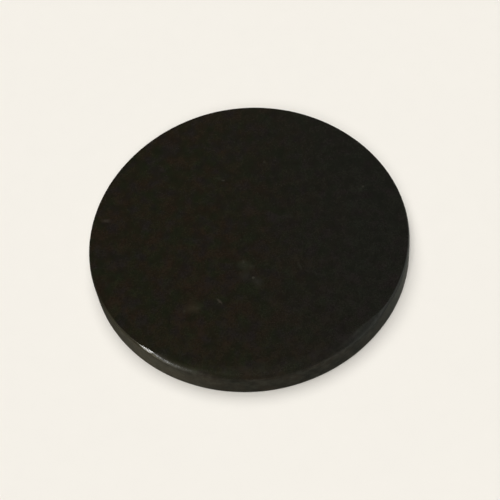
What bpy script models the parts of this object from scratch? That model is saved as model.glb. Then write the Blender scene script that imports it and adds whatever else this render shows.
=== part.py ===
"""A polished shungite disc: one flat, round slab of black stone that lies on its face.

The slab is sawn and lapped flat on both faces, its edge is ground by hand against
a wheel, and the edges of both faces are then eased. Hand grinding leaves the plan
a sixth of a millimetre out of round, and one stretch of the upper edge is eased
more softly than the rest.

The origin is the middle of the underside. +Z is up and -Y is the front.
"""
import math

import bmesh
import bpy

# Driving dimensions, in metres.
DIAMETER = 0.050
THICKNESS = 0.005

# Out of round, as parts of the radius: three low corners and four low corners.
THREE_CORNERED = 0.0036
FOUR_CORNERED = 0.0029

# Easing of the edges, as radii in metres.
TOP_EASING = 0.00055
SOFT_EASING = 0.00140
BOTTOM_EASING = 0.00030

# The softly eased stretch of the upper edge, as angles round from +X, in degrees.
SOFT_START = -120.0
SOFT_START_FADE = 16.0
SOFT_END = -46.0
SOFT_END_FADE = 7.0

# Fineness of the solid.
FACETS = 120
EASING_STEPS = 4

# Finish of the stone.
STONE_COLOUR = (0.0130, 0.0114, 0.0078, 1.0)
STONE_ROUGHNESS = 0.22
STONE_METALLIC = 0.0


def clear_scene():
    """Take away whatever stands in the scene."""
    for thing in list(bpy.data.objects):
        bpy.data.objects.remove(thing, do_unlink=True)


def plan_radius(angle):
    """Radius of the disc's plan at an angle round from +X, in radians."""
    swell = FOUR_CORNERED * math.cos(4 * angle) - THREE_CORNERED * math.sin(3 * angle)
    return DIAMETER / 2 * (1 + swell)


def smooth_step(value):
    """Ease from 0 to 1 as value goes from 0 to 1."""
    held = min(max(value, 0.0), 1.0)
    return held * held * (3 - 2 * held)


def upper_easing(angle):
    """Radius of the upper edge's easing at an angle round from +X, in radians."""
    degrees = math.degrees(angle)
    rise = smooth_step((degrees - SOFT_START) / SOFT_START_FADE + 0.5)
    fall = smooth_step((degrees - SOFT_END) / SOFT_END_FADE + 0.5)
    return TOP_EASING + (SOFT_EASING - TOP_EASING) * (rise - fall)


def sawn_blank():
    """The slab before its edges are eased, with its out-of-round plan."""
    blank = bmesh.new()
    bmesh.ops.create_cone(
        blank,
        cap_ends=True,
        cap_tris=False,
        segments=FACETS,
        radius1=DIAMETER / 2,
        radius2=DIAMETER / 2,
        depth=THICKNESS,
    )
    for vert in blank.verts:
        angle = math.atan2(vert.co.y, vert.co.x)
        radius = plan_radius(angle)
        vert.co.x = radius * math.cos(angle)
        vert.co.y = radius * math.sin(angle)
        vert.co.z += THICKNESS / 2
    return blank


def mark_easing(blank):
    """Weigh each face's rim by how far it is eased, against the softest stretch."""
    weight = blank.edges.layers.float.new("bevel_weight_edge")
    for edge in blank.edges:
        middle = (edge.verts[0].co + edge.verts[1].co) / 2
        angle = math.atan2(middle.y, middle.x)
        if middle.z > THICKNESS * 0.75:
            edge[weight] = upper_easing(angle) / SOFT_EASING
        elif middle.z < THICKNESS * 0.25:
            edge[weight] = BOTTOM_EASING / SOFT_EASING


def ease_edges(disc):
    """Round both rims, each by the weight that it carries."""
    easing = disc.modifiers.new("eased edges", "BEVEL")
    easing.limit_method = "WEIGHT"
    easing.width = SOFT_EASING
    easing.segments = EASING_STEPS
    easing.profile = 0.5
    easing.use_clamp_overlap = False


def stone():
    """Near-black polished stone with a faint warm cast."""
    material = bpy.data.materials.new("polished shungite")
    material.use_nodes = True
    shader = material.node_tree.nodes["Principled BSDF"]
    shader.inputs["Base Color"].default_value = STONE_COLOUR
    shader.inputs["Roughness"].default_value = STONE_ROUGHNESS
    shader.inputs["Metallic"].default_value = STONE_METALLIC
    return material


def shungite_disc():
    """The one piece of stone."""
    blank = sawn_blank()
    mark_easing(blank)
    mesh = bpy.data.meshes.new("shungite_disc")
    blank.to_mesh(mesh)
    blank.free()
    mesh.shade_smooth()
    mesh.set_sharp_from_angle(angle=math.radians(40.0))
    mesh.materials.append(stone())
    disc = bpy.data.objects.new("shungite_disc", mesh)
    bpy.context.scene.collection.objects.link(disc)
    ease_edges(disc)
    return disc


def main():
    clear_scene()
    shungite_disc()


main()
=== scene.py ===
import math

import bpy
from mathutils import Matrix, Vector


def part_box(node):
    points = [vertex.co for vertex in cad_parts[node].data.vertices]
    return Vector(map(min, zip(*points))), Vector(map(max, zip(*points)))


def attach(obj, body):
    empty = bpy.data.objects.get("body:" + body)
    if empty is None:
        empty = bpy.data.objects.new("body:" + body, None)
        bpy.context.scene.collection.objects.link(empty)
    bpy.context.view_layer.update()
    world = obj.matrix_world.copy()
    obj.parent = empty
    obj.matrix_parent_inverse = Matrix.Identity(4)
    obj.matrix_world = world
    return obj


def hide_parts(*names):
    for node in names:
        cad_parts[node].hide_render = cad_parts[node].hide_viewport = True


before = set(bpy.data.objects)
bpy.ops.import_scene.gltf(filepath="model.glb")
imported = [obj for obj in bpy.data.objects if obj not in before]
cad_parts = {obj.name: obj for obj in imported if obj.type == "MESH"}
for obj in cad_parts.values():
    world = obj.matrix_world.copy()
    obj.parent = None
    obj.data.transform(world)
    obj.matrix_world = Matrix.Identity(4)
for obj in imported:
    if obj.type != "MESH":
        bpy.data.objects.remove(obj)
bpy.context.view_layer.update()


# The disc: one slab of shungite, a black rock rich in carbon. It was sawn and lapped
# flat, ground round by hand on a wheel and polished, the faces more than the wall.
# Its upper rim is only just eased, but rounded over along the front.
DISC = "shungite_disc"
disc_low, disc_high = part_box(DISC)

# The plan: how far it is out of round, as parts of the radius, and how much less wide
# the finished stone is than the solid.
FOUR_CORNERED = 0.0029
THREE_CORNERED = 0.0036
POLISHED_OFF = 0.000006
MEAN_WIDTH = (disc_high[0] - disc_low[0]) / (1 + FOUR_CORNERED) - POLISHED_OFF
THICKNESS = disc_high[2] - disc_low[2]

# The rims: how far in and how far down each is eased, and how crisp the edge of the
# upper face stays, from 0 for a full round to 1.
UPPER_EASING = 0.00024
UPPER_DROP = 0.00105
FRONT_EASING = 0.00175
FRONT_DROP = 0.00140
LOWER_EASING = 0.00030
CRISPNESS = 0.85

# Where the softer front begins and ends, and where its edge is crisp again.
FRONT_START = math.radians(-127.5)
FRONT_START_FADE = math.radians(16.0)
FRONT_END = math.radians(-51.0)
FRONT_END_FADE = math.radians(27.0)
SOFT_END = math.radians(-54.0)
SOFT_END_FADE = math.radians(8.0)

# What hand work and use took off: shallow waves along the ground wall, a fretted
# upper rim, chips in it where loose grains broke out, larger nicks, each with its
# place in degrees, half width and depth, and a rubbed flat that leans from level.
WAVE_DEPTH = 0.000030
WAVE_LENGTH = 0.0055
WAVE_DETAIL = 1.0
FRET_DEPTH = 0.000018
FRET_LENGTH = 0.0006
FRETTED_NOISE = (0.42, 0.72)
CHIP_DEPTH = 0.00007
CHIP_SIZE = 0.00032
CHIP_SPACING = 0.0024
RIM_NICKS = {
    "right front": (-46.0, 0.00055, 0.00006),
    "back": (74.0, 0.00045, 0.00005),
    "left": (168.0, 0.00035, 0.00005),
}
FLAT_AT = math.radians(-130.0)
FLAT_LEAN = math.radians(57.0)
FLAT_DEPTH = 0.00015
WEAR_SEED = 3.0

# Rows of faces along the section, from the middle of the underside to the middle of
# the upper face, crowded towards the rims, and columns of faces round the disc.
ROWS = {"under": 18, "lower rim": 8, "wall": 16, "upper rim": 16, "face": 34}
COLUMNS = 960
CROWDING = 1.7
WELD = 1e-6

# The name under which the mesh keeps its wall, for the finish to read.
WALL_MARK = "wall"

# Nearly all of a cloud's noise lies between these.
MOST_NOISE = (0.3, 0.7)


def named_input(tree, name, kind, value):
    """Give the tree an input with a name, and return the socket's identifier."""
    socket = tree.interface.new_socket(name, in_out="INPUT", socket_type=kind)
    socket.default_value = value
    return socket.identifier


def feed(tree, socket, source):
    """Put a link or a plain value into a socket."""
    if isinstance(source, bpy.types.NodeSocket):
        tree.links.new(source, socket)
    else:
        socket.default_value = source


def reckon(tree, operation, *terms):
    """One sum on numbers."""
    node = tree.nodes.new("ShaderNodeMath")
    node.operation = operation
    for socket, term in zip(node.inputs, terms):
        feed(tree, socket, term)
    return node.outputs["Value"]


def total(tree, terms):
    """The sum of a list of numbers."""
    result = terms[0]
    for term in terms[1:]:
        result = reckon(tree, "ADD", result, term)
    return result


def reckon_vector(tree, operation, *terms):
    """One sum on vectors, which gives a vector or, for a product or length, a number."""
    node = tree.nodes.new("ShaderNodeVectorMath")
    node.operation = operation
    for socket, term in zip(node.inputs, terms):
        feed(tree, socket, term)
    gives_number = operation in ("DOT_PRODUCT", "LENGTH")
    return node.outputs["Value" if gives_number else "Vector"]


def scaled(tree, vector, factor):
    """A vector or a colour times a number."""
    node = tree.nodes.new("ShaderNodeVectorMath")
    node.operation = "SCALE"
    feed(tree, node.inputs["Vector"], vector)
    feed(tree, node.inputs["Scale"], factor)
    return node.outputs["Vector"]


def coordinates(tree, point):
    """A point taken apart into its X, Y and Z."""
    apart = tree.nodes.new("ShaderNodeSeparateXYZ")
    tree.links.new(point, apart.inputs["Vector"])
    return apart.outputs


def span(tree, value, start, end, low=0.0, high=1.0, smooth=False):
    """Carry a value from one range to another, held at its ends."""
    node = tree.nodes.new("ShaderNodeMapRange")
    node.interpolation_type = "SMOOTHSTEP" if smooth else "LINEAR"
    node.clamp = True
    ends = {"From Min": start, "From Max": end, "To Min": low, "To Max": high}
    feed(tree, node.inputs["Value"], value)
    for name, source in ends.items():
        feed(tree, node.inputs[name], source)
    return node.outputs["Result"]


def cloud(tree, where, size, seed, detail=2.0):
    """Smooth noise from about 0.25 to 0.75, with lumps of the given size in metres."""
    node = tree.nodes.new("ShaderNodeTexNoise")
    node.noise_dimensions = "4D"
    node.inputs["Scale"].default_value = 1 / size
    node.inputs["Detail"].default_value = detail
    feed(tree, node.inputs["Vector"], where)
    feed(tree, node.inputs["W"], seed)
    return node.outputs["Fac"]


def grains(tree, where, spacing, seed):
    """Scattered points: how far the nearest is, in spacings, and its own random tone."""
    node = tree.nodes.new("ShaderNodeTexVoronoi")
    node.voronoi_dimensions = "4D"
    node.inputs["Scale"].default_value = 1 / spacing
    feed(tree, node.inputs["Vector"], where)
    feed(tree, node.inputs["W"], seed)
    return node.outputs["Distance"], node.outputs["Color"]


def section_walk(tree, row):
    """How far each stretch of the section has been walked at this row, from 0 to 1."""
    walked = {}
    start = 0
    for name, count in ROWS.items():
        walked[name] = span(tree, row, start, start + count)
        start += count
    return walked


def on_the_wall(tree, walked):
    """1 on the wall, falling to 0 across each rim."""
    return reckon(tree, "SUBTRACT", walked["lower rim"], walked["upper rim"])


def plan_radius(tree, angle, given):
    """The plan's radius at an angle: a circle, slightly out of round."""
    four = reckon(tree, "COSINE", reckon(tree, "MULTIPLY", angle, 4.0))
    three = reckon(tree, "SINE", reckon(tree, "MULTIPLY", angle, 3.0))
    four = reckon(tree, "MULTIPLY", four, given["Four Cornered"])
    three = reckon(tree, "MULTIPLY", three, given["Three Cornered"])
    swell = reckon(tree, "ADD", reckon(tree, "SUBTRACT", four, three), 1.0)
    half_width = reckon(tree, "MULTIPLY", given["Width"], 0.5)
    return reckon(tree, "MULTIPLY", half_width, swell)


def eased(tree, centre, fade, angle):
    """A smooth step from 0 to 1 as the angle passes a place on the rim."""
    return span(tree, angle, centre - fade / 2, centre + fade / 2, smooth=True)


def upper_easing(tree, angle, given):
    """How far in and down the upper rim is eased, and how crisp its edge is left."""
    begun = eased(tree, FRONT_START, FRONT_START_FADE, angle)
    ended = eased(tree, FRONT_END, FRONT_END_FADE, angle)
    front = reckon(tree, "SUBTRACT", begun, ended)
    eased_by = []
    for name in ("Easing", "Drop"):
        extra = reckon(tree, "SUBTRACT", given["Front " + name], given["Upper " + name])
        eased_by.append(reckon(tree, "MULTIPLY_ADD", front, extra, given["Upper " + name]))
    softened = reckon(tree, "SUBTRACT", begun, eased(tree, SOFT_END, SOFT_END_FADE, angle))
    crisp = reckon(tree, "MULTIPLY", reckon(tree, "SUBTRACT", 1.0, softened), given["Crispness"])
    return *eased_by, crisp


def rim_turn(tree, walked, rim):
    """How far the section has turned round a rim, up to a quarter turn."""
    return reckon(tree, "MULTIPLY", walked[rim], math.pi / 2)


def distance_out(tree, walked, radius, upper, crisp, given):
    """Distance from the axis: out along the underside, round each rim, and in again."""
    lower = given["Lower Easing"]
    upper_turn = rim_turn(tree, walked, "upper rim")
    unwalked = reckon(tree, "SUBTRACT", 1.0, walked["under"])
    under = reckon(tree, "SUBTRACT", 1.0, reckon(tree, "POWER", unwalked, CROWDING))
    face = reckon(tree, "POWER", walked["face"], CROWDING)

    out = reckon(tree, "MULTIPLY", reckon(tree, "SUBTRACT", radius, lower), under)
    lower_out = reckon(tree, "SINE", rim_turn(tree, walked, "lower rim"))
    out = reckon(tree, "MULTIPLY_ADD", lower_out, lower, out)
    round_in = reckon(tree, "SUBTRACT", 1.0, reckon(tree, "COSINE", upper_turn))
    crisp_in = reckon(tree, "POWER", reckon(tree, "SINE", upper_turn), 2.0)
    crisper = reckon(tree, "MULTIPLY", reckon(tree, "SUBTRACT", crisp_in, round_in), crisp)
    turned_in = reckon(tree, "ADD", round_in, crisper)
    out = reckon(tree, "SUBTRACT", out, reckon(tree, "MULTIPLY", turned_in, upper))
    inwards = reckon(tree, "MULTIPLY", reckon(tree, "SUBTRACT", radius, upper), face)
    return reckon(tree, "SUBTRACT", out, inwards)


def height_up(tree, walked, drop, given):
    """Height: round the lower rim, up the wall and round the upper rim."""
    lower = given["Lower Easing"]
    lower_in = reckon(tree, "COSINE", rim_turn(tree, walked, "lower rim"))
    upright = reckon(tree, "SUBTRACT", reckon(tree, "SUBTRACT", given["Thickness"], drop), lower)
    up = reckon(tree, "MULTIPLY", reckon(tree, "SUBTRACT", 1.0, lower_in), lower)
    up = reckon(tree, "MULTIPLY_ADD", walked["wall"], upright, up)
    upper_up = reckon(tree, "SINE", rim_turn(tree, walked, "upper rim"))
    return reckon(tree, "MULTIPLY_ADD", upper_up, drop, up)


def facing(tree, walked):
    """Which way the stone faces there: how far outwards and how far upwards."""
    lower_turn = rim_turn(tree, walked, "lower rim")
    upper_turn = rim_turn(tree, walked, "upper rim")
    still_out = reckon(tree, "COSINE", upper_turn)
    still_down = reckon(tree, "COSINE", lower_turn)
    outwards = reckon(tree, "MULTIPLY", reckon(tree, "SINE", lower_turn), still_out)
    upwards = reckon(tree, "SUBTRACT", reckon(tree, "SINE", upper_turn), still_down)
    return outwards, upwards


def placed(tree, out, up, angle):
    """A point from its distance from the axis, its height and its angle."""
    point = tree.nodes.new("ShaderNodeCombineXYZ")
    feed(tree, point.inputs["X"], reckon(tree, "MULTIPLY", out, reckon(tree, "COSINE", angle)))
    feed(tree, point.inputs["Y"], reckon(tree, "MULTIPLY", out, reckon(tree, "SINE", angle)))
    feed(tree, point.inputs["Z"], up)
    return point.outputs["Vector"]


def depth_worn(tree, where, angle, walked, given):
    """How deep the stone is worn below its turned shape, in metres."""
    wall = on_the_wall(tree, walked)
    rim = reckon(tree, "SINE", reckon(tree, "MULTIPLY", walked["upper rim"], math.pi))
    waves = span(tree, cloud(tree, where, WAVE_LENGTH, given["Seed"], WAVE_DETAIL), *MOST_NOISE)
    fretted = span(tree, cloud(tree, where, FRET_LENGTH, given["Seed"]), *FRETTED_NOISE)
    near, _ = grains(tree, where, CHIP_SPACING, given["Seed"])
    chipped = span(tree, near, CHIP_SIZE / CHIP_SPACING, 0.0, smooth=True)
    worn = [
        reckon(tree, "MULTIPLY", waves, reckon(tree, "MULTIPLY", wall, given["Wave Depth"])),
        reckon(tree, "MULTIPLY", fretted, reckon(tree, "MULTIPLY", rim, given["Fret Depth"])),
        reckon(tree, "MULTIPLY", chipped, reckon(tree, "MULTIPLY", rim, given["Chip Depth"])),
    ]
    for degrees, half_width, depth in RIM_NICKS.values():
        reach = half_width / (MEAN_WIDTH / 2)
        off = reckon(tree, "ABSOLUTE", reckon(tree, "SUBTRACT", angle, math.radians(degrees)))
        nick = span(tree, off, reach, 0.0, 0.0, depth, smooth=True)
        worn.append(reckon(tree, "MULTIPLY", nick, rim))
    return total(tree, worn)


def rubbed_flat(tree, point, given):
    """Take off what stands out past the plane of the small flat on the upper rim."""
    swell = FOUR_CORNERED * math.cos(4 * FLAT_AT) - THREE_CORNERED * math.sin(3 * FLAT_AT)
    corner = MEAN_WIDTH / 2 * (1 + swell) - UPPER_EASING
    corner_reach = corner * math.sin(FLAT_LEAN) + THICKNESS * math.cos(FLAT_LEAN)
    flat_faces = Vector((math.cos(FLAT_AT), math.sin(FLAT_AT), 0.0)) * math.sin(FLAT_LEAN)
    flat_faces.z = math.cos(FLAT_LEAN)
    reach = reckon_vector(tree, "DOT_PRODUCT", point, flat_faces)
    stop = reckon(tree, "SUBTRACT", corner_reach, given["Flat Depth"])
    past = reckon(tree, "MAXIMUM", reckon(tree, "SUBTRACT", reach, stop), 0.0)
    return reckon_vector(tree, "SUBTRACT", point, scaled(tree, flat_faces, past))


def surface_point(tree, walked, angle, given):
    """Where a point of the sheet comes to lie: turned, worn, and rubbed flat."""
    radius = plan_radius(tree, angle, given)
    upper, drop, crisp = upper_easing(tree, angle, given)
    out = distance_out(tree, walked, radius, upper, crisp, given)
    up = height_up(tree, walked, drop, given)
    outwards, upwards = facing(tree, walked)
    worn = depth_worn(tree, placed(tree, out, up, angle), angle, walked, given)
    out = reckon(tree, "SUBTRACT", out, reckon(tree, "MULTIPLY", worn, outwards))
    up = reckon(tree, "SUBTRACT", up, reckon(tree, "MULTIPLY", worn, upwards))
    return rubbed_flat(tree, placed(tree, out, up, angle), given)


def slab_inputs(tree, material):
    """Give the tree its named inputs, and return their values by identifier."""
    sizes = {
        "Width": MEAN_WIDTH,
        "Thickness": THICKNESS,
        "Four Cornered": FOUR_CORNERED,
        "Three Cornered": THREE_CORNERED,
        "Upper Easing": UPPER_EASING,
        "Upper Drop": UPPER_DROP,
        "Front Easing": FRONT_EASING,
        "Front Drop": FRONT_DROP,
        "Crispness": CRISPNESS,
        "Lower Easing": LOWER_EASING,
        "Wave Depth": WAVE_DEPTH,
        "Fret Depth": FRET_DEPTH,
        "Chip Depth": CHIP_DEPTH,
        "Flat Depth": FLAT_DEPTH,
        "Seed": WEAR_SEED,
    }
    values = {}
    for name, size in sizes.items():
        values[named_input(tree, name, "NodeSocketFloat", size)] = size
    values[named_input(tree, "Stone", "NodeSocketMaterial", material)] = material
    return values


def flat_sheet(tree):
    """A square sheet of faces, with each point's angle and row of the section."""
    rows = sum(ROWS.values())
    sheet = tree.nodes.new("GeometryNodeMeshGrid")
    sheet.inputs["Size X"].default_value = 1.0
    sheet.inputs["Size Y"].default_value = 1.0
    sheet.inputs["Vertices X"].default_value = COLUMNS + 1
    sheet.inputs["Vertices Y"].default_value = rows + 1
    place = coordinates(tree, tree.nodes.new("GeometryNodeInputPosition").outputs["Position"])
    angle = reckon(tree, "MULTIPLY", place["X"], 2 * math.pi)
    row = reckon(tree, "MULTIPLY_ADD", place["Y"], float(rows), rows / 2)
    return sheet.outputs["Mesh"], angle, row


def next_step(tree, kind, geometry):
    """Add a node that the geometry passes through."""
    node = tree.nodes.new(kind)
    tree.links.new(geometry, node.inputs["Geometry"])
    return node


def slab_tree(material):
    """The tree that turns the section round, out of round, and wears it down."""
    tree = bpy.data.node_groups.new("ground slab", "GeometryNodeTree")
    values = slab_inputs(tree, material)
    tree.interface.new_socket("Slab", in_out="OUTPUT", socket_type="NodeSocketGeometry")
    given = tree.nodes.new("NodeGroupInput").outputs
    sheet, angle, row = flat_sheet(tree)
    walked = section_walk(tree, row)

    mark = next_step(tree, "GeometryNodeStoreNamedAttribute", sheet)
    mark.data_type = "FLOAT"
    mark.domain = "POINT"
    mark.inputs["Name"].default_value = WALL_MARK
    feed(tree, mark.inputs["Value"], on_the_wall(tree, walked))
    bend = next_step(tree, "GeometryNodeSetPosition", mark.outputs["Geometry"])
    feed(tree, bend.inputs["Position"], surface_point(tree, walked, angle, given))
    close = next_step(tree, "GeometryNodeMergeByDistance", bend.outputs["Geometry"])
    close.inputs["Distance"].default_value = WELD
    smooth = next_step(tree, "GeometryNodeSetShadeSmooth", close.outputs["Geometry"])
    realize = next_step(tree, "GeometryNodeRealizeInstances", smooth.outputs["Geometry"])
    dress = next_step(tree, "GeometryNodeSetMaterial", realize.outputs["Geometry"])
    tree.links.new(given["Stone"], dress.inputs["Material"])
    output = tree.nodes.new("NodeGroupOutput")
    tree.links.new(dress.outputs["Geometry"], output.inputs["Slab"])
    return tree, values


# The stone's own colours: black with an olive cast, with browner and more purple
# clouds in it, a little less warm towards the right, and the wall's ground bloom.
OLIVE_BLACK = (0.0074, 0.0083, 0.0037, 1.0)
BROWN_BLACK = (0.0114, 0.0073, 0.0041, 1.0)
PURPLE_BLACK = (0.0090, 0.0070, 0.0066, 1.0)
COOL_BLACK = (0.0072, 0.0075, 0.0058, 1.0)
GROUND_BLACK = (0.0018, 0.0024, 0.0010, 1.0)
GROUND_BROWN = (0.0160, 0.0108, 0.0062, 1.0)
GROUND_PALE = (0.0330, 0.0325, 0.0240, 1.0)
COOL_FROM = -0.2 * MEAN_WIDTH
COOL_FULL = 0.45 * MEAN_WIDTH
COOL_SHARE = 0.9

# Cloudy patterns in the stone: lump size, seed, detail, the noise at which each comes
# up and at which it is full, and its strength at either. The last two are factors
# on the colour, and the others are shares of another colour.
CLOUDS = {
    "brown": (0.0024, 11.0, 3.0, 0.36, 0.64, 0.0, 1.0),
    "purple": (0.0019, 31.0, 3.0, 0.48, 0.68, 0.0, 0.8),
    "bloom": (0.0009, 17.0, 4.0, 0.43, 0.66, 0.0, 0.66),
    "grain": (0.00030, 5.0, 2.0, 0.30, 0.70, 0.78, 1.22),
    "shade": (0.0016, 43.0, 2.0, 0.30, 0.70, 0.80, 1.20),
}

# Pale specks, each a tiny pit in the polish, and the random tones between which a
# speck goes from unseen to full strength.
SPECK_SPACING = 0.0019
SPECK_SIZE = 0.00016
SPECK_SEED = 8.0
SPECK_TONES = (0.45, 0.75)
SPECK_STRENGTH = 0.09
SPECK_DEPTH = 0.00002

# Hair lines from polishing, in sets that each lie another way, and level streaks that
# grinding left on the wall. Coordinates stretched along an axis squeeze the pattern
# there, so its lines lie across that axis.
HAIR_STRETCH = (1.0, 30.0, 1.0)
HAIR_SIZE = 0.006
HAIR_DETAIL = 1.0
HAIR_WIDTH = 0.012
HAIR_SETS = 4
HAIR_TURN = 37.0
HAIR_SEED = 2.0
HAIR_DEPTH = 0.0000004
STREAK_STRETCH = (1.0, 1.0, 9.0)
STREAK_SIZE = 0.0011
STREAK_SEED = 21.0
STREAK_HEIGHT = 0.000018

# The finish: how rough the polished face and the ground wall are, how much the marks,
# hair lines and streaks add, how strongly the polish mirrors, and the share of wall,
# across a rim, from which the wall's finish comes in.
FACE_ROUGHNESS = 0.20
WALL_ROUGHNESS = 0.36
HAIR_ROUGHNESS = 0.03
MARK_ROUGHNESS = 0.8
STREAK_ROUGHNESS = 0.12
REFLECTION_LEVEL = 0.25
WALL_FROM = 0.6

# Marks seen on the upper face, and a painted sheen and a painted glint on its front rim:
# place from the middle to the right and to the back, length and width in millimetres,
# turn in degrees, strength and colour.
PALE = (0.090, 0.083, 0.064, 1.0)
PINK = (0.105, 0.078, 0.062, 1.0)
GREENISH = (0.074, 0.084, 0.054, 1.0)
YELLOWISH = (0.092, 0.082, 0.046, 1.0)
# The mauve of the painted sheen: light that the soft front rim catches, laid on as colour.
MAUVE_SHEEN = (0.086, 0.074, 0.072, 1.0)
MARKS_AND_SHINE = {
    "middle fleck": (-0.1, -8.1, 0.6, 0.5, 60, 0.203, PALE),
    "middle haze": (0.4, -9.0, 3.2, 1.7, -60, 0.070, GREENISH),
    "short scratch": (-5.6, -11.4, 1.6, 0.5, -56, 0.203, PINK),
    "back left fleck": (-2.7, 10.7, 0.7, 0.5, 0, 0.176, PALE),
    "back left haze": (-3.4, 11.2, 1.8, 0.9, 150, 0.047, GREENISH),
    "front fleck": (-9.0, -12.1, 1.0, 0.8, 20, 0.045, PALE),
    "front haze": (-9.8, -11.9, 3.8, 2.1, 5, 0.068, YELLOWISH),
    "front haze end": (-11.1, -12.3, 0.6, 0.9, 0, 0.068, GREENISH),
    "right fleck": (19.1, 5.8, 0.6, 0.6, 0, 0.121, PALE),
    "right fleck tail": (18.6, 5.2, 1.1, 0.7, 45, 0.054, GREENISH),
    "smudge": (-1.3, -5.7, 2.9, 2.1, -20, 0.080, GREENISH),
    "smudge tip": (-1.2, -5.0, 0.7, 1.1, 0, 0.070, PALE),
    "smudge side": (0.0, -6.1, 1.4, 1.2, 0, 0.055, PALE),
    "smudge tail": (-1.3, -7.6, 2.2, 1.8, -60, 0.060, GREENISH),
    "back fleck": (4.3, 13.2, 0.6, 0.7, 0, 0.095, PALE),
    "left rub": (-21.9, 6.1, 2.1, 0.9, -15, 0.121, PINK),
    "streak": (7.2, -7.2, 2.2, 0.6, -78, 0.060, PALE),
    "streak haze": (6.8, -5.7, 2.0, 1.5, -60, 0.034, YELLOWISH),
    # A painted sheen: the light on the soft front rim, laid on as a mauve oval.
    "painted front sheen": (-3.6, -23.2, 8.5, 2.2, 6, 0.022, MAUVE_SHEEN),
    # A painted glint: a small highlight on the front rim, laid on as a pale oval.
    "painted rim glint": (-10.6, -22.1, 2.2, 0.6, -24, 0.045, PALE),
}
MILLIMETRE = 0.001

# A mark fades out a little past its own oval, reaches a little way down from the
# upper face, and has its edge shaken by lumps of this size.
MARK_FADE = 1.2
MARK_REACH_DOWN = 0.0030
RAGGED_BY = 0.00035
RAGGED_SIZE = 0.00045


def blended(tree, share, first, second):
    """Mix two colours."""
    node = tree.nodes.new("ShaderNodeMix")
    node.data_type = "RGBA"
    sockets = {socket.identifier: socket for socket in node.inputs}
    feed(tree, sockets["Factor_Float"], share)
    feed(tree, sockets["A_Color"], first)
    feed(tree, sockets["B_Color"], second)
    return {socket.identifier: socket for socket in node.outputs}["Result_Color"]


def turned(tree, where, degrees, stretch):
    """Coordinates turned about the upright and stretched, for drawn-out patterns."""
    node = tree.nodes.new("ShaderNodeMapping")
    node.inputs["Rotation"].default_value = (0.0, 0.0, math.radians(degrees))
    node.inputs["Scale"].default_value = stretch
    feed(tree, node.inputs["Vector"], where)
    return node.outputs["Vector"]


def clouded(tree, where, name):
    """How strongly one of the stone's cloudy patterns shows."""
    size, seed, detail, starts, full, low, high = CLOUDS[name]
    return span(tree, cloud(tree, where, size, seed, detail), starts, full, low, high)


def stone_colour(tree, where, wall):
    """The clouded black of the polished face, and on the wall the ground bloom."""
    brown = clouded(tree, where, "brown")
    colour = blended(tree, brown, OLIVE_BLACK, BROWN_BLACK)
    right = coordinates(tree, where)["X"]
    cool = span(tree, right, COOL_FROM, COOL_FULL, 0.0, COOL_SHARE, smooth=True)
    colour = blended(tree, cool, colour, COOL_BLACK)
    colour = blended(tree, clouded(tree, where, "purple"), colour, PURPLE_BLACK)
    ground_stone = blended(tree, brown, GROUND_BLACK, GROUND_BROWN)
    ground_stone = blended(tree, clouded(tree, where, "bloom"), ground_stone, GROUND_PALE)
    colour = blended(tree, wall, colour, ground_stone)
    shade = reckon(tree, "MULTIPLY", clouded(tree, where, "grain"), clouded(tree, where, "shade"))
    return scaled(tree, colour, shade)


def specks(tree, where):
    """Pale specks, each as strong as its own random tone lets it be."""
    near, tone = grains(tree, where, SPECK_SPACING, SPECK_SEED)
    shown = span(tree, tone, *SPECK_TONES, 0.0, SPECK_STRENGTH)
    return reckon(tree, "MULTIPLY", span(tree, near, SPECK_SIZE / SPECK_SPACING, 0.0), shown)


def ragged(tree, where):
    """Coordinates shaken a little, so that marks get uneven edges."""
    noise = tree.nodes.new("ShaderNodeTexNoise")
    noise.inputs["Scale"].default_value = 1 / RAGGED_SIZE
    feed(tree, noise.inputs["Vector"], where)
    shake = reckon_vector(tree, "SUBTRACT", noise.outputs["Color"], (0.5, 0.5, 0.5))
    return reckon_vector(tree, "ADD", where, scaled(tree, shake, RAGGED_BY))


def mark_share(tree, where, right, back, length, width, degrees, strength):
    """A soft oval on the upper face, strongest in its middle."""
    half_long = length / 2 * MILLIMETRE
    half_wide = width / 2 * MILLIMETRE
    oval = tree.nodes.new("ShaderNodeMapping")
    oval.vector_type = "TEXTURE"
    oval.inputs["Location"].default_value = (right * MILLIMETRE, back * MILLIMETRE, THICKNESS)
    oval.inputs["Rotation"].default_value = (0.0, 0.0, math.radians(degrees))
    oval.inputs["Scale"].default_value = (half_long, half_wide, MARK_REACH_DOWN)
    feed(tree, oval.inputs["Vector"], where)
    away = reckon_vector(tree, "LENGTH", oval.outputs["Vector"])
    return span(tree, away, MARK_FADE, 0.0, 0.0, strength, smooth=True)


def marked(tree, where, colour):
    """Lay the marks, with the painted sheen and glint among them, over a colour; also how strongly
    they show, all together.
    """
    shaken = ragged(tree, where)
    shares = []
    for *oval, strength, tint in MARKS_AND_SHINE.values():
        share = mark_share(tree, shaken, *oval, strength)
        colour = blended(tree, share, colour, tint)
        shares.append(share)
    return colour, total(tree, shares)


def hair_lines(tree, where):
    """Hair lines left by the polish, in sets that each lie one way."""
    sets = []
    for count in range(HAIR_SETS):
        lying = turned(tree, where, HAIR_TURN * count, HAIR_STRETCH)
        lines = cloud(tree, lying, HAIR_SIZE, HAIR_SEED + count, HAIR_DETAIL)
        off = reckon(tree, "ABSOLUTE", reckon(tree, "SUBTRACT", lines, 0.5))
        sets.append(span(tree, off, HAIR_WIDTH, 0.0))
    return total(tree, sets)


def ground_streaks(tree, where, wall):
    """Level streaks that the grinding wheel left, on the wall only."""
    streaks = cloud(tree, turned(tree, where, 0.0, STREAK_STRETCH), STREAK_SIZE, STREAK_SEED)
    return reckon(tree, "MULTIPLY", streaks, wall)


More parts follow.
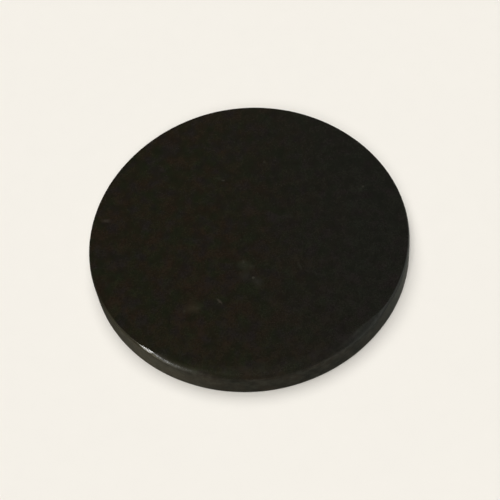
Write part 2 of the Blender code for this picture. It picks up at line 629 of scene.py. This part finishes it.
def polished_shungite():
    """Black stone with a satin polish, duller on its ground wall."""
    material = bpy.data.materials.new("polished shungite")
    material.use_nodes = True
    tree = material.node_tree
    shader = tree.nodes["Principled BSDF"]
    here = tree.nodes.new("ShaderNodeTexCoord").outputs["Object"]
    mesh_wall = tree.nodes.new("ShaderNodeAttribute")
    mesh_wall.attribute_name = WALL_MARK
    wall = span(tree, mesh_wall.outputs["Fac"], WALL_FROM, 1.0, smooth=True)
    speck = specks(tree, here)
    hairs = hair_lines(tree, here)
    streaks = ground_streaks(tree, here, wall)
    colour = blended(tree, speck, stone_colour(tree, here, wall), PALE)
    # The marks bring the painted sheen and the painted glint on the front rim into the colour and
    # the roughness.
    colour, marks = marked(tree, here, colour)
    tree.links.new(colour, shader.inputs["Base Color"])

    rough = span(tree, wall, 0.0, 1.0, FACE_ROUGHNESS, WALL_ROUGHNESS)
    rough = reckon(tree, "MULTIPLY_ADD", hairs, HAIR_ROUGHNESS, rough)
    rough = reckon(tree, "MULTIPLY_ADD", marks, MARK_ROUGHNESS, rough)
    rough = reckon(tree, "MULTIPLY_ADD", streaks, STREAK_ROUGHNESS, rough)
    tree.links.new(rough, shader.inputs["Roughness"])

    height = reckon(tree, "MULTIPLY", hairs, -HAIR_DEPTH)
    height = reckon(tree, "MULTIPLY_ADD", speck, -SPECK_DEPTH, height)
    height = reckon(tree, "MULTIPLY_ADD", streaks, STREAK_HEIGHT, height)
    bump = tree.nodes.new("ShaderNodeBump")
    bump.inputs["Distance"].default_value = 1.0
    tree.links.new(height, bump.inputs["Height"])
    tree.links.new(bump.outputs["Normal"], shader.inputs["Normal"])
    shader.inputs["Specular IOR Level"].default_value = REFLECTION_LEVEL
    return material


def made_by(tree, values, name):
    """Run a tree on an empty object and keep what it makes as a plain mesh."""
    holder = bpy.data.objects.new(name + "_tree", bpy.data.meshes.new(name + "_tree"))
    bpy.context.scene.collection.objects.link(holder)
    modifier = holder.modifiers.new("tree", "NODES")
    modifier.node_group = tree
    for identifier, value in values.items():
        modifier[identifier] = value
    graph = bpy.context.evaluated_depsgraph_get()
    mesh = bpy.data.meshes.new_from_object(holder.evaluated_get(graph))
    bpy.data.objects.remove(holder, do_unlink=True)
    piece = bpy.data.objects.new(name, mesh)
    bpy.context.scene.collection.objects.link(piece)
    return piece


slab = made_by(*slab_tree(polished_shungite()), "polished_disc")
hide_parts(DISC)
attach(slab, "root")


# The floor: a plain pale sheet of board with a matt face, far wider than the disc
# that lies loose on it. It is no part of the object, and the polish doesn't show it.
BOARD_COLOUR = (0.83, 0.797, 0.734)
BOARD_TINT = (0.996, 1.004)
BOARD_ROUGHNESS = (0.86, 0.94)
BOARD_GRAIN = 0.0030
BOARD_SEED = 1.0
FLOOR_HALF_WIDTH = 3.0
FLOOR_GAP = 0.00002
FLOOR_CORNERS = ((-1, -1), (1, -1), (1, 1), (-1, 1))


def pale_board():
    """Matt board, very slightly uneven in tone."""
    material = bpy.data.materials.new("pale board")
    material.use_nodes = True
    tree = material.node_tree
    shader = tree.nodes["Principled BSDF"]
    here = tree.nodes.new("ShaderNodeTexCoord").outputs["Object"]
    grain = cloud(tree, here, BOARD_GRAIN, BOARD_SEED)
    tint = span(tree, grain, *MOST_NOISE, *BOARD_TINT)
    tree.links.new(scaled(tree, BOARD_COLOUR, tint), shader.inputs["Base Color"])
    rough = span(tree, grain, *MOST_NOISE, *BOARD_ROUGHNESS)
    tree.links.new(rough, shader.inputs["Roughness"])
    shader.inputs["Specular IOR Level"].default_value = 0.0
    return material


floor_mesh = bpy.data.meshes.new("pale_floor")
floor_points = [(x * FLOOR_HALF_WIDTH, y * FLOOR_HALF_WIDTH, -FLOOR_GAP) for x, y in FLOOR_CORNERS]
floor_mesh.from_pydata(floor_points, [], [(0, 1, 2, 3)])
floor_mesh.materials.append(pale_board())
floor = bpy.data.objects.new("pale_floor", floor_mesh)
bpy.context.scene.collection.objects.link(floor)
floor.visible_glossy = False


# The light: two softboxes overhead that light the floor and the stone but leave no
# shine, one small bright window low on the left, and a dim room. Only the stone's
# polish shows the window and the room.

# Softboxes and window: azimuth, height and apparent width in degrees, and strength.
SOFTBOXES = {
    "front softbox": (262, 56, 34, 1.937),
    "back softbox": (105, 78, 50, 1.892),
}
WINDOW = (207.5, 5, 14, 5.2)


def direction(azimuth, height):
    """The way to a place in the room from the disc."""
    level = math.cos(math.radians(height))
    return Vector((
        level * math.cos(math.radians(azimuth)),
        level * math.sin(math.radians(azimuth)),
        math.sin(math.radians(height)),
    ))


def soft_light(name, azimuth, height, width, strength):
    """A wide distant light."""
    light = bpy.data.lights.new(name, "SUN")
    light.energy = strength
    light.angle = math.radians(width)
    lamp = bpy.data.objects.new(name, light)
    lamp.rotation_euler = direction(azimuth, height).to_track_quat("Z", "Y").to_euler()
    bpy.context.scene.collection.objects.link(lamp)
    return lamp


for name, place_and_strength in SOFTBOXES.items():
    softbox = soft_light(name, *place_and_strength)
    softbox.visible_glossy = False
window = soft_light("low window", *WINDOW)
window.visible_diffuse = False

# What the polish mirrors of the room: its brightness by height, from straight down to
# straight up, and its brighter and darker places, each with its azimuth, height, full
# width and faded width in degrees, and how much it adds.
ROOM_BY_HEIGHT = (
    (-90, 0.12),
    (-60, 0.142),
    (-25, 0.46),
    (-3, 0.28),
    (44, 0.22),
    (52, 0.10),
    (62, 0.11),
    (76, 0.18),
    (90, 0.21),
)
ROOM_PLACES = {
    "right wall": (5, 20, 38, 52, 0.36),
    "ceiling at the right": (-8, 46, 8, 20, 0.40),
    "right of the camera": (-36, -18, 12, 28, 0.34),
    "left wall": (-148, 8, 16, 34, 0.60),
    "ceiling at the left": (-133, 47, 6, 15, 0.25),
    "window sill": (-155, -14, 6, 14, 3.00),
    "behind the camera": (-98, 60, 12, 30, 0.14),
    "floor at the left": (174, -60, 9, 24, 0.23),
    "floor behind the right": (59, -57, 8, 20, 0.18),
    "dark floor behind the left": (128, -42, 16, 38, -0.26),
}
DARKEST = 0.02
WARM_LEFT = (1.10, 1.00, 0.68, 1.0)
COOL_RIGHT = (0.95, 1.00, 0.90, 1.0)
WARM_TO_COOL = (-0.55, 0.75)

# What the camera sees above the floor: a backdrop as pale as the floor.
BACKDROP_COLOUR = (0.913, 0.880, 0.807, 1.0)


def room_by_height(tree, upwards):
    """The room's brightness from how far up it is looked at, as a sine."""
    ramp = tree.nodes.new("ShaderNodeValToRGB")
    steps = ramp.color_ramp.elements
    ready = len(steps)
    for count, (height, level) in enumerate(ROOM_BY_HEIGHT):
        place = (math.sin(math.radians(height)) + 1) / 2
        step = steps[count] if count < ready else steps.new(place)
        step.position = place
        step.color = (level, level, level, 1.0)
    tree.links.new(span(tree, upwards, -1.0, 1.0), ramp.inputs["Fac"])
    return ramp.outputs["Color"]


def room_place(tree, towards, azimuth, height, full, faded, level):
    """What one brighter or darker place adds, soft at its edge."""
    near = math.cos(math.radians(full))
    far = math.cos(math.radians(faded))
    looked_at = reckon_vector(tree, "DOT_PRODUCT", towards, direction(azimuth, height))
    return span(tree, looked_at, far, near, 0.0, level, smooth=True)


def light_the_room(tree):
    """The dim room for the polish, and the pale backdrop for the camera."""
    towards = tree.nodes.new("ShaderNodeTexCoord").outputs["Generated"]
    across = coordinates(tree, towards)
    levels = [room_by_height(tree, across["Z"])]
    for place in ROOM_PLACES.values():
        levels.append(room_place(tree, towards, *place))
    mirrored = tree.nodes["Background"]
    cool = span(tree, across["X"], *WARM_TO_COOL)
    feed(tree, mirrored.inputs["Color"], blended(tree, cool, WARM_LEFT, COOL_RIGHT))
    feed(tree, mirrored.inputs["Strength"], reckon(tree, "MAXIMUM", total(tree, levels), DARKEST))

    backdrop = tree.nodes.new("ShaderNodeBackground")
    backdrop.inputs["Color"].default_value = BACKDROP_COLOUR
    by_camera = tree.nodes.new("ShaderNodeLightPath").outputs["Is Camera Ray"]
    either = tree.nodes.new("ShaderNodeMixShader")
    sources = (by_camera, mirrored.outputs["Background"], backdrop.outputs["Background"])
    for source, socket in zip(sources, either.inputs):
        tree.links.new(source, socket)
    tree.links.new(either.outputs["Shader"], tree.nodes["World Output"].inputs["Surface"])


room = bpy.data.worlds.new("dim room")
bpy.context.scene.world = room
room.use_nodes = True
room.cycles_visibility.diffuse = False
light_the_room(room.node_tree)


# The camera: stands in front of the disc and well above it, looks down at its middle
# and is a little rolled. Its lens gives the disc the size that it has in the photo.
ELEVATION = math.radians(57.52)
ROLL = math.radians(8.01)
RADII_AWAY = 8
AIMED_ABOVE = 0.000082
FRAME_PIXELS = 500
PIXELS_PER_RADIUS = 157.16
SENSOR_WIDTH = 36.0
NEAREST_SEEN = 0.01

camera_data = bpy.data.cameras.new("camera")
camera_data.sensor_width = SENSOR_WIDTH
camera_data.lens = PIXELS_PER_RADIUS * RADII_AWAY / FRAME_PIXELS * SENSOR_WIDTH
camera_data.clip_start = NEAREST_SEEN
camera = bpy.data.objects.new("camera", camera_data)
bpy.context.scene.collection.objects.link(camera)
back = Vector((0.0, -math.cos(ELEVATION), math.sin(ELEVATION)))
right = Vector((1.0, 0.0, 0.0))
above = Vector((0.0, math.sin(ELEVATION), math.cos(ELEVATION)))
image_right = right * math.cos(ROLL) - above * math.sin(ROLL)
image_up = right * math.sin(ROLL) + above * math.cos(ROLL)
facing_disc = Matrix((image_right, image_up, back)).transposed()
stand = back * RADII_AWAY * MEAN_WIDTH / 2 + image_up * AIMED_ABOVE
camera.matrix_world = Matrix.Translation(stand) @ facing_disc.to_4x4()
bpy.context.scene.camera = camera
bpy.context.scene.view_settings.view_transform = "Standard"
